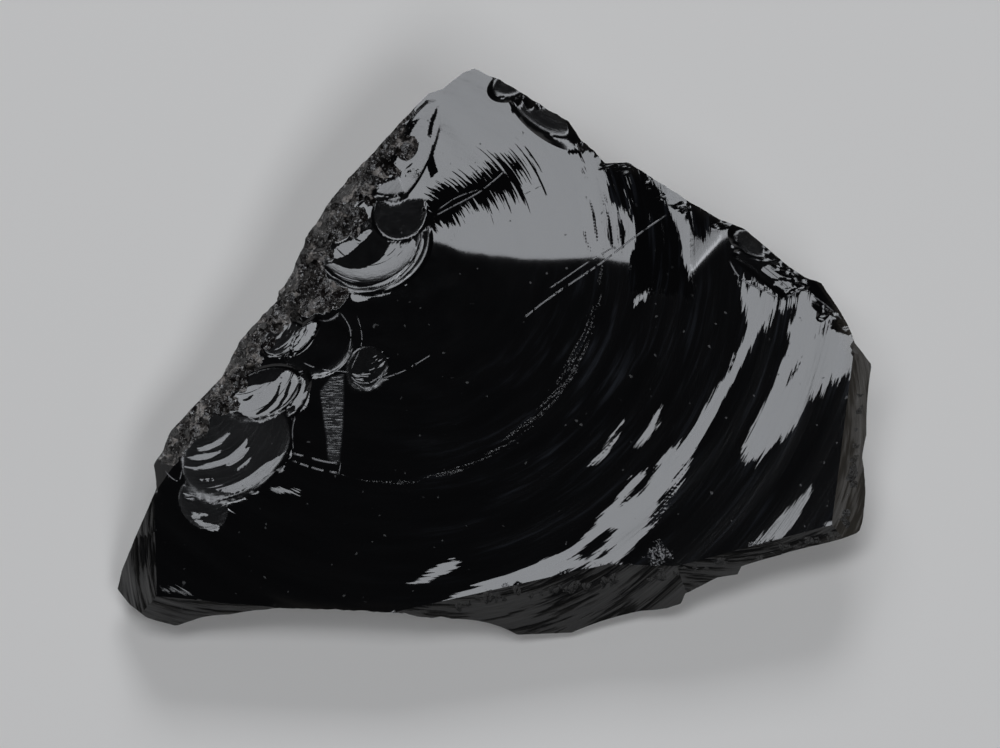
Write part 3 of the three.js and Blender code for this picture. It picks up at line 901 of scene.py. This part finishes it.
def point_marks(points):
    """For each point of the front: how deep it lies in each patch, and how far it is from the
    percussion point, from 0 at 20 mm to 1 at 35 mm."""
    x, y = points[:, 0], points[:, 1]
    shine = ring_depth(x, y, GLINTS, RING_STRETCH)
    radius, bearing = polar(x, y, PERCUSSION)
    bearing = np.degrees(bearing)
    ring = np.interp(bearing, CRUSHED_RING[:, 0], CRUSHED_RING[:, 1])
    half = np.interp(bearing, CRUSHED_RING[:, 0], CRUSHED_RING[:, 2])
    return {
        "glint": np.minimum(shine, -ring_depth(x, y, SLITS, RING_STRETCH)),
        "hollow": ring_depth(x, y, HOLLOWS, RING_STRETCH),
        "comb": ring_depth(x, y, COMB, COMB_STRETCH),
        "scar_glint": np.minimum(deepest(x, y, SCAR_GLINTS), -deepest(x, y, SCAR_SLITS)),
        "ribbed_glint": deepest(x, y, RIBBED_GLINTS),
        "crushed_ring": half - np.abs(radius - ring),
        "spots": deepest(x, y, CRUSHED_SPOTS),
        "hackle": depth_inside(x, y, HACKLE_COLUMN),
        "rim": deepest(x, y, [CRUSHED_RIM]),
        "away": np.clip((radius - 20.0) / 15.0, 0, 1),
    }


def marks():
    """What the finish reads at every triangle corner: fracture distance and bearing, how
    crushed, ribbed and thin the glass is there, which surface it is on, and how deep it lies
    in each patch of the main face."""
    corner = POINTS[TRIANGLES]
    middle = corner.mean(1)
    x, y, z = corner[..., 0], corner[..., 1], corner[..., 2]
    mx, my, mz = middle.T
    front = np.zeros(len(TRIANGLES), dtype=bool)
    front[:2 * FACE_CELLS ** 2] = True
    back = np.abs(mz - back_height(mx, my)) < 0.05
    layer = np.zeros(len(TRIANGLES), dtype=int)
    layer[front] = face_layers(mx[front], my[front]).argmin(0)
    angle = np.arctan2(my - MAP_CENTRE[1], mx - MAP_CENTRE[0])
    side = ~front & ~back
    side_layer = side_layers(np.mod(angle[side], 2 * np.pi), mz[side]).argmin(0)

    origin = fracture_origins()[layer]
    distance = np.hypot(x - origin[:, :1], y - origin[:, 1:])
    bearing = np.arctan2(y - origin[:, 1:], x - origin[:, :1])
    corner_angle = np.arctan2(y - MAP_CENTRE[1], x - MAP_CENTRE[0])[side]
    turn = corner_angle - side_origins()[side_layer][:, None]
    turn = (np.mod(turn + np.pi, 2 * np.pi) - np.pi) * SIDE_REACH
    down = SIDE_ORIGIN_HEIGHT - z[side]
    distance[side], bearing[side] = np.hypot(turn, down), np.arctan2(down, turn)
    bearing += 2 * np.pi * np.round((bearing[:, :1] - bearing) / (2 * np.pi))

    first_scar = 1 + len(BEVELS)
    scar = np.clip(layer - first_scar, 0, len(SCARS) - 1)
    on_scar = front & (layer >= first_scar)
    on_face = front & (layer == 0)
    ribbed = np.where(on_scar, RIB_OF_SCAR[scar], 0.0)
    on_ridge = on_scar & (scar >= len(SCARS) - RIDGE_CRUMBS)
    bevelled = np.where(front & (layer >= HAZY_FROM) & (layer <= HAZY_TO) | on_ridge, 1.0, 0.0)
    reached = np.hypot(mx - MAP_CENTRE[0], my - MAP_CENTRE[1])
    from_edge = np.maximum(outline_reach(np.mod(angle, 2 * np.pi)) - reached, 0)
    right = np.clip((mx - 52.0) / 6.0, 0, 1)
    thin = np.where(back, 0.0, np.exp(-from_edge / 2.5) * (0.35 + 0.65 * right))
    thin = np.where(front & (layer == THIN_EDGE), 1.0, thin)

    crumbled = on_scar & (CRUSH_OF_SCAR[scar] == 1)
    crisp = front & ~crumbled
    flat = {}
    for name, value in point_marks(POINTS[:(FACE_CELLS + 1) ** 2]).items():
        flat[name] = np.full(x.shape, FAR)
        flat[name][crisp] = value[TRIANGLES[crisp]]
        if name == "rim":
            flat[name][front] = value[TRIANGLES[front]]
    flat["rim"][crumbled] = 1.0
    flat["away"] = np.where(on_face[:, None], flat["away"], 0.0)
    flat["spots"] = np.where(on_face[:, None], flat["spots"], FAR)
    across, inside = line_marks(x, y, mx, my)
    across = np.where(crisp[:, None], across, OFF_LINE)
    return {
        "fracture": np.stack([distance, bearing], axis=-1),
        "line": np.stack([across, inside], axis=-1),
        "ribbed": ribbed, "bevelled": bevelled, "thin": thin,
        "sides": np.where(front, 0.0, 1.0), **flat,
    }


mesh = bpy.data.meshes.new("obsidian_lump")
mesh.from_pydata(LAID, [], TRIANGLES)
for name, value in marks().items():
    if value.ndim == 3:
        layer = mesh.uv_layers.new(name=name)
        layer.data.foreach_set("uv", value.ravel().astype(np.float32))
    else:
        if value.ndim == 1:
            value = value[:, None].repeat(3, axis=1)
        layer = mesh.attributes.new(name, "FLOAT", "CORNER")
        layer.data.foreach_set("value", value.ravel().astype(np.float32))
mesh.shade_smooth()
mesh.set_sharp_from_angle(angle=SHARP_ANGLE)
piece = bpy.data.objects.new("obsidian_lump", mesh)
bpy.context.scene.collection.objects.link(piece)
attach(piece, "root")
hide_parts(NODE)


def face_direction(x, y, z):
    """A direction given square to the face, in the laid-down frame."""
    c, s = math.cos(FACE_LEAN), math.sin(FACE_LEAN)
    return Vector((x, y * c - z * s, y * s + z * c)).normalized()


def tilted(tilt, bearing):
    """The direction that leans away from square to the face by a tilt, towards a bearing."""
    t, b = math.radians(tilt), math.radians(bearing)
    return face_direction(math.sin(t) * math.cos(b), math.sin(t) * math.sin(b), math.cos(t))


# ---------------------------------------------------------------- the finish
class Wire:
    """A shader socket that adds, subtracts and multiplies like a number."""

    def __init__(self, finish, socket):
        self.finish = finish
        self.socket = socket

    def math(self, operation, *values):
        """A Math node on any values."""
        return self.finish.node("ShaderNodeMath", {"operation": operation}, values)

    def __add__(self, other):
        return self.math("ADD", self, other)

    def __sub__(self, other):
        return self.math("SUBTRACT", self, other)

    def __rsub__(self, other):
        return self.math("SUBTRACT", other, self)

    def __mul__(self, other):
        return self.math("MULTIPLY", self, other)

    def __abs__(self):
        return self.math("ABSOLUTE", self)

    __radd__ = __add__


class Finish:
    """A material, or the sky, under construction, with the nodes that its expressions need."""

    def __init__(self, owner, surface="Principled BSDF"):
        owner.use_nodes = True
        self.owner = owner
        self.tree = owner.node_tree
        self.surface = self.tree.nodes[surface]

    def node(self, kind, settings=None, values=(), output=0):
        """Adds a node: its settings first, then the values or links of its sockets, by place
        or by name. Gives back the wire of one output."""
        made = self.tree.nodes.new(kind)
        for name, setting in (settings or {}).items():
            setattr(made, name, setting)
        pairs = values.items() if isinstance(values, dict) else enumerate(values)
        for name, value in pairs:
            self.feed(made.inputs[name], value)
        return Wire(self, made.outputs[output])

    def feed(self, socket, value):
        """Links a wire to a socket, or sets the socket to a plain value."""
        if isinstance(value, Wire):
            self.tree.links.new(value.socket, socket)
        else:
            socket.default_value = value

    def mark(self, name):
        """A number laid out on the piece, corner by corner."""
        return self.node("ShaderNodeAttribute", {"attribute_name": name}, output="Fac")

    def pair(self, name):
        """The two numbers of a map laid out on the piece."""
        place = self.node("ShaderNodeUVMap", {"uv_map": name})
        return [self.node("ShaderNodeSeparateXYZ", {}, [place], axis) for axis in "XY"]

    def vector(self, x, y, z):
        """A vector from three values."""
        return self.node("ShaderNodeCombineXYZ", {}, [x, y, z])

    def grain(self, place, scale, detail=2.0, rough=0.5):
        """Noise from 0 to 1, its middle at 0.5."""
        values = {"Vector": place, "Scale": scale, "Detail": detail, "Roughness": rough}
        return self.node("ShaderNodeTexNoise", {}, values)

    def step(self, value, low, high):
        """A smooth step from 0 to 1 between two limits."""
        values = {"Value": value, "From Min": low, "From Max": high}
        settings = {"interpolation_type": "SMOOTHSTEP", "clamp": True}
        return self.node("ShaderNodeMapRange", settings, values)

    def blend(self, share, first, second):
        """A colour between two, by a share from 0 to 1."""
        values = {0: share, 6: first, 7: second}
        return self.node("ShaderNodeMix", {"data_type": "RGBA"}, values, 2)

    def arrow(self, operation, *values):
        """A Vector Math node on any vectors."""
        return self.node("ShaderNodeVectorMath", {"operation": operation}, values)


JET = (0.0016, 0.0016, 0.0019, 1)        # fresh black glass
SMOKE = (0.034, 0.030, 0.025, 1)         # thin edges, where brown light comes through
VEIL = (0.013, 0.0145, 0.018, 1)         # faint streaks on the dark face
BLOOM = (0.022, 0.021, 0.018, 1)         # streaks on the bevels
CRUSHED_GLASS = (0.26, 0.235, 0.215, 1)
CRUSHED_DARK = (0.008, 0.0065, 0.006, 1)
PAINTED_SPARKLE = (0.42, 0.41, 0.40, 1)            # painted sparkle highlights on the grit of the rim
SCUFF_AND_HIGHLIGHT = (0.17, 0.17, 0.175, 1)           # painted highlight of the fine lines, and crushed spots
GLASS_IOR = 1.49
GLINT_LEAN = 0.145               # lean of the shining patches, as a slope
SCAR_LEAN = 0.15                 # lean of the shining patches on the flake scars
HOLLOW_LEAN = 0.24               # lean of the dull patches in the bright top
HOLLOW_WAY = (0.77, 0.64)        # the way in which those lean, in the drawing frame
BEVEL_LEAN = 0.75                # how far the streaks on the bevels turn up towards the face


def obsidian_finish():
    """Black glass. Streaks run round each fracture's origin: noise squeezed across the rings
    and drawn out along them. They fray the edges of the leaning patches and score the rest.
    Ribs are the same noise, coarser, on the scars; the rim is crushed to pale grit, with painted sparkle
    highlights on it. Fine lines carry painted highlight, and thin edges are lightened with painted light
    shining through."""
    f = Finish(bpy.data.materials.new("obsidian"))
    distance, bearing = f.pair("fracture")
    across, inside = f.pair("line")
    place = f.node("ShaderNodeTexCoord", {}, (), "Object")
    ribbed, thin = f.mark("ribbed"), f.mark("thin")
    bevelled, sides = f.mark("bevelled"), f.mark("sides")

    streak = f.grain(f.vector(distance * 1.7, bearing * 5.5, 0.0), 1.0, 3.0)
    hair = f.grain(f.vector(distance * 5.0, bearing * 9.0, 4.0), 1.0, 2.0)
    broad = f.grain(f.vector(distance * 0.35, bearing * 2.5, 8.0), 1.0, 2.0)
    ribs = f.grain(f.vector(distance * 0.85, bearing * 0.9, 20.0), 1.0, 1.5)
    fine_ribs = f.grain(f.vector(distance * 3.0, bearing * 2.0, 24.0), 1.0, 2.0)
    frayed = ((streak - 0.5) * 1.5 + (hair - 0.5) * 0.9) * (0.25 + f.mark("away") * 0.75)

    # patches that lean: out along the rings on the main face, up the face on its scars
    lit = f.step(f.mark("glint") + frayed, -0.12, 0.12)
    dim = f.step(f.mark("hollow") + frayed, -0.12, 0.12)
    dim = dim * (1 - f.step(streak + (hair - 0.5) * 0.5, 0.60, 0.70) * 0.85)
    teeth = f.grain(f.vector(distance * 2.6, bearing * 1.2, 12.0), 1.0, 2.0)
    combed = f.step(f.mark("comb") + (teeth - 0.5) * 3.6 + (hair - 0.5), -0.15, 0.15)
    scar_lit = f.mark("scar_glint") + (fine_ribs - 0.5) * 0.5 + (ribs - 0.5) * 0.5
    scar_lit = f.step(scar_lit, -0.05, 0.05)
    grooves = f.grain(f.vector(distance * 2.4, bearing * 0.8, 30.0), 1.0, 2.0)
    scar_lit = scar_lit * (1 - f.step(grooves + (fine_ribs - 0.5) * 0.4, 0.60, 0.70) * 0.75)
    ribbed_depth = f.mark("ribbed_glint").math("MINIMUM", f.mark("ribbed_glint"), 0.5)
    rib_lit = f.step(ribbed_depth * 0.3 + (ribs - 0.64) * 3.2 + (fine_ribs - 0.5) * 2.4, -0.05, 0.15)
    lean = lit * GLINT_LEAN
    dull = (dim + combed).math("MINIMUM", dim + combed, 1.0) * HOLLOW_LEAN
    upwards = (scar_lit + rib_lit).math("MINIMUM", scar_lit + rib_lit, 1.0) * SCAR_LEAN
    turned = bearing * 0.35 - math.radians(25)
    cosine, sine = bearing.math("COSINE", turned), bearing.math("SINE", turned)
    up_y, up_z = math.cos(FACE_LEAN), math.sin(FACE_LEAN)
    rise = sine * lean + dull * HOLLOW_WAY[1] + upwards
    upright = f.step(broad + (streak - 0.5) * 0.6, 0.36, 0.58) * bevelled * BEVEL_LEAN
    lift = f.vector(cosine * lean + dull * HOLLOW_WAY[0], rise * up_y - upright * up_z,
                    rise * up_z + upright * up_y)
    leaning = f.arrow("ADD", f.node("ShaderNodeNewGeometry", {}, (), "Normal"), lift)

    # crushed rim: facets turned every way, in two sizes
    grit = f.grain(place, 2600.0, 2.0, 0.7)
    crushed = f.step(f.mark("rim") + (f.grain(place, 500.0, 3.0) - 0.5) * 3.0, -0.1, 0.3)
    cells = {"feature": "F1"}
    shards = f.node("ShaderNodeTexVoronoi", cells, {"Vector": place, "Scale": 620.0}, "Color")
    chips = f.node("ShaderNodeTexVoronoi", cells, {"Vector": place, "Scale": 1700.0}, "Color")
    coarse = f.arrow("MULTIPLY", shards, (1.1, 1.1, 1.1))
    fine = f.arrow("MULTIPLY", chips, (0.6, 0.6, 0.6))
    turns = f.arrow("SUBTRACT", f.arrow("ADD", coarse, fine), (0.85, 0.85, 0.85))
    turns = f.node("ShaderNodeVectorMath", {"operation": "SCALE"}, {"Vector": turns, "Scale": crushed})
    shard_tone = f.node("ShaderNodeSeparateXYZ", {}, [shards])
    leaning = f.arrow("NORMALIZE", f.arrow("ADD", leaning, turns))

    # fine lines of painted highlight, crushed ring and spots, hackle column
    # painted highlight: the fine lines along ribs and edges are lightened as if they caught the light
    line = (1 - f.step(abs(across), 0.5, 1.3)) * f.step(inside, -0.1, 1.2)
    line = line * f.step(f.grain(place, 900.0, 3.0), 0.38, 0.56)
    scuffed = f.step(f.mark("crushed_ring") + (streak - 0.5) * 2.4, -0.1, 0.6)
    scuffed = scuffed * f.step(f.grain(place, 4200.0, 2.0, 0.7), 0.54, 0.62) * f.step(streak, 0.44, 0.66)
    spotted = f.step(f.mark("spots") + (f.grain(place, 700.0, 3.0) - 0.5) * 5.0, -0.1, 0.6)
    spotted = spotted * f.step(f.grain(place, 2300.0, 3.0, 0.75), 0.51, 0.60)
    scuffed = (scuffed + spotted * 1.4).math("MINIMUM", scuffed + spotted * 1.4, 1.0)
    rungs = f.grain(f.arrow("MULTIPLY", place, (350.0, 4200.0, 4200.0)), 1.0, 2.0)
    hackled = f.step(f.mark("hackle"), -0.1, 0.35)
    rung = f.step(rungs + (f.grain(place, 500.0) - 0.5) * 0.5, 0.50, 0.70) * hackled * 0.6
    loose = f.step(f.grain(place, 900.0, 1.0), 0.74, 0.80) * (1 - sides) * (1 - crushed)

    pale = f.step(f.grain(place, 800.0, 4.0, 0.7), 0.44, 0.66)
    glassy = f.step(f.grain(place, 210.0, 3.0), 0.46, 0.58)
    grey = crushed * pale * (1 - glassy * 0.85) * f.step(shard_tone, 0.20, 0.75)
    # painted highlight: bright sparkles scattered over the crushed rim, where its facets would glint
    painted_sparkles = f.step(f.grain(place, 1700.0, 3.0, 0.7), 0.58, 0.68) * crushed

    # painted light: thin edges are blended towards brown as if light shone through them
    lit_through_thin_edge = f.step(thin + (broad - 0.5) * 0.5, 0.15, 0.95)
    veil = f.grain(f.vector(distance * 1.1, bearing * 3.0, 40.0), 1.0, 4.0, 0.6)
    patchy = f.step(broad, 0.40, 0.62) * f.mark("away") * f.step(bearing, -1.75, -0.9)
    colour = f.blend(f.step(veil, 0.48, 0.72) * patchy.math("MAXIMUM", patchy, 0.0), JET, VEIL)
    colour = f.blend(lit_through_thin_edge, colour, SMOKE)
    colour = f.blend(bevelled * f.step(streak, 0.42, 0.72) * 0.35, colour, BLOOM)
    colour = f.blend(crushed * 0.8, colour, CRUSHED_DARK)
    colour = f.blend(grey, colour, CRUSHED_GLASS)
    colour = f.blend(painted_sparkles * 0.8, colour, PAINTED_SPARKLE)
    colour = f.blend(hackled * 0.10, colour, SCUFF_AND_HIGHLIGHT)
    # crushed ring and spots together with the painted highlight of the fine lines
    scuffs_and_highlights = line + scuffed + rung * 0.5
    colour = f.blend(scuffs_and_highlights.math("MINIMUM", scuffs_and_highlights, 1.0), colour, SCUFF_AND_HIGHLIGHT)
    f.feed(f.surface.inputs["Base Color"], colour)

    rough = 0.10 + ribbed * 0.08 + bevelled * 0.10 + sides * 0.05 + grey * 0.30 + crushed * 0.05
    rough = rough + (broad - 0.5) * 0.05 + (line + scuffed + rung) * 0.22 + loose * 0.2
    f.feed(f.surface.inputs["Roughness"], rough)

    # heights in mm
    score = (streak - 0.5) * 0.010 + (hair - 0.5) * 0.003
    height = score + ribbed * ((ribs - 0.5) * 0.03 + (fine_ribs - 0.5) * 0.012)
    height = height + (bevelled + sides) * ((streak - 0.5) * 0.14 + (broad - 0.5) * 0.5)
    height = height + crushed * ((grit - 0.5) * 0.06 + pale * 0.04)
    height = height + line * 0.03 + scuffed * 0.03 + (rungs - 0.5) * hackled * 0.05
    values = {"Strength": 1.0, "Distance": MM, "Height": height, "Normal": leaning}
    f.feed(f.surface.inputs["Normal"], f.node("ShaderNodeBump", {}, values))
    f.feed(f.surface.inputs["IOR"], GLASS_IOR)
    return f.owner


mesh.materials.append(obsidian_finish())

# ---------------------------------------------------------------- the studio
TARGET = Vector((0.0, 0.0, 0.016))   # where the lights point
LIGHT_TINT = (0.92, 0.95, 1.0)
HORIZON = (0.75, 0.75, 0.76, 1)
OVERHEAD = (0.015, 0.015, 0.016, 1)
SKY_FROM, SKY_TO = 0.05, 0.25        # the slopes between which the sky darkens
PALE_CARD = (0.84, 0.82, 0.79, 1)
CAMERA_DISTANCE = 1.0
SENSOR = 36.0
VIEW_WIDTH = 0.160                   # metres across the picture at the main face
VIEW_MIDDLE = (1.6, -3.84)           # the point of the main face in the picture's middle, in mm


def softbox(name, direction, distance, width, height, radiance):
    """A flat light that faces the lump, as bright as its radiance says, its width square to
    the direction in which it leans away from the face."""
    light = bpy.data.lights.new(name, "AREA")
    light.shape = "RECTANGLE"
    light.size = width
    light.size_y = height
    light.color = LIGHT_TINT
    light.energy = radiance * math.pi * width * height
    lamp = bpy.data.objects.new(name, light)
    lamp.location = TARGET + direction * distance
    sideways = face_direction(0, 0, 1).cross(direction).normalized()
    upwards = direction.cross(sideways).normalized()
    lamp.rotation_euler = Matrix((sideways, upwards, direction)).transposed().to_euler()
    lamp.visible_camera = False
    bpy.context.scene.collection.objects.link(lamp)


softbox("top_softbox", tilted(17.5, 92), 1.3, 0.42, 0.30, 6.6)
softbox("left_softbox", tilted(18, 140), 1.3, 0.30, 0.28, 6.0)
softbox("front_softbox", tilted(17, -38), 1.3, 0.62, 0.30, 6.6)
softbox("back_softbox", tilted(66, 90), 1.4, 0.7, 0.4, 6.8)


def studio_sky():
    """Pale just over the horizon, nearly black higher up."""
    sky = Finish(bpy.data.worlds.new("studio"), "Background")
    way = sky.node("ShaderNodeTexCoord", {}, (), "Generated")
    height = sky.node("ShaderNodeSeparateXYZ", {}, [way], "Z")
    values = {"Value": height, "From Min": SKY_FROM, "From Max": SKY_TO}
    share = sky.node("ShaderNodeMapRange", {"clamp": True}, values)
    sky.feed(sky.surface.inputs["Color"], sky.blend(share, HORIZON, OVERHEAD))
    return sky.owner


def studio_floor():
    """A wide, flat, pale, matt card."""
    mesh = bpy.data.meshes.new("floor")
    mesh.from_pydata([(-6, -6, 0), (6, -6, 0), (6, 6, 0), (-6, 6, 0)], [], [(0, 1, 2, 3)])
    card = Finish(bpy.data.materials.new("pale_floor"))
    card.feed(card.surface.inputs["Base Color"], PALE_CARD)
    card.feed(card.surface.inputs["Roughness"], 0.9)
    card.feed(card.surface.inputs["Specular IOR Level"], 0.1)
    mesh.materials.append(card.owner)
    floor = bpy.data.objects.new("floor", mesh)
    bpy.context.scene.collection.objects.link(floor)
    return floor


def square_camera():
    """A camera square to the main face, its lens set so that the view is VIEW_WIDTH across."""
    data = bpy.data.cameras.new("camera")
    data.sensor_width = SENSOR
    data.lens = SENSOR * CAMERA_DISTANCE / VIEW_WIDTH
    camera = bpy.data.objects.new("camera", data)
    x, y = VIEW_MIDDLE
    aim = np.array([x, y * math.cos(FACE_LEAN), y * math.sin(FACE_LEAN)]) * MM - SETTLE
    camera.location = Vector(aim) + face_direction(0, 0, 1) * CAMERA_DISTANCE
    camera.rotation_euler = (FACE_LEAN, 0, 0)
    bpy.context.scene.collection.objects.link(camera)
    return camera


bpy.context.scene.world = studio_sky()
floor = studio_floor()
bpy.context.scene.camera = square_camera()
bpy.context.scene.view_settings.view_transform = "Standard"


def corners(box):
    """A box's lowest and highest corner as plain lists."""
    return [list(map(float, corner)) for corner in box]
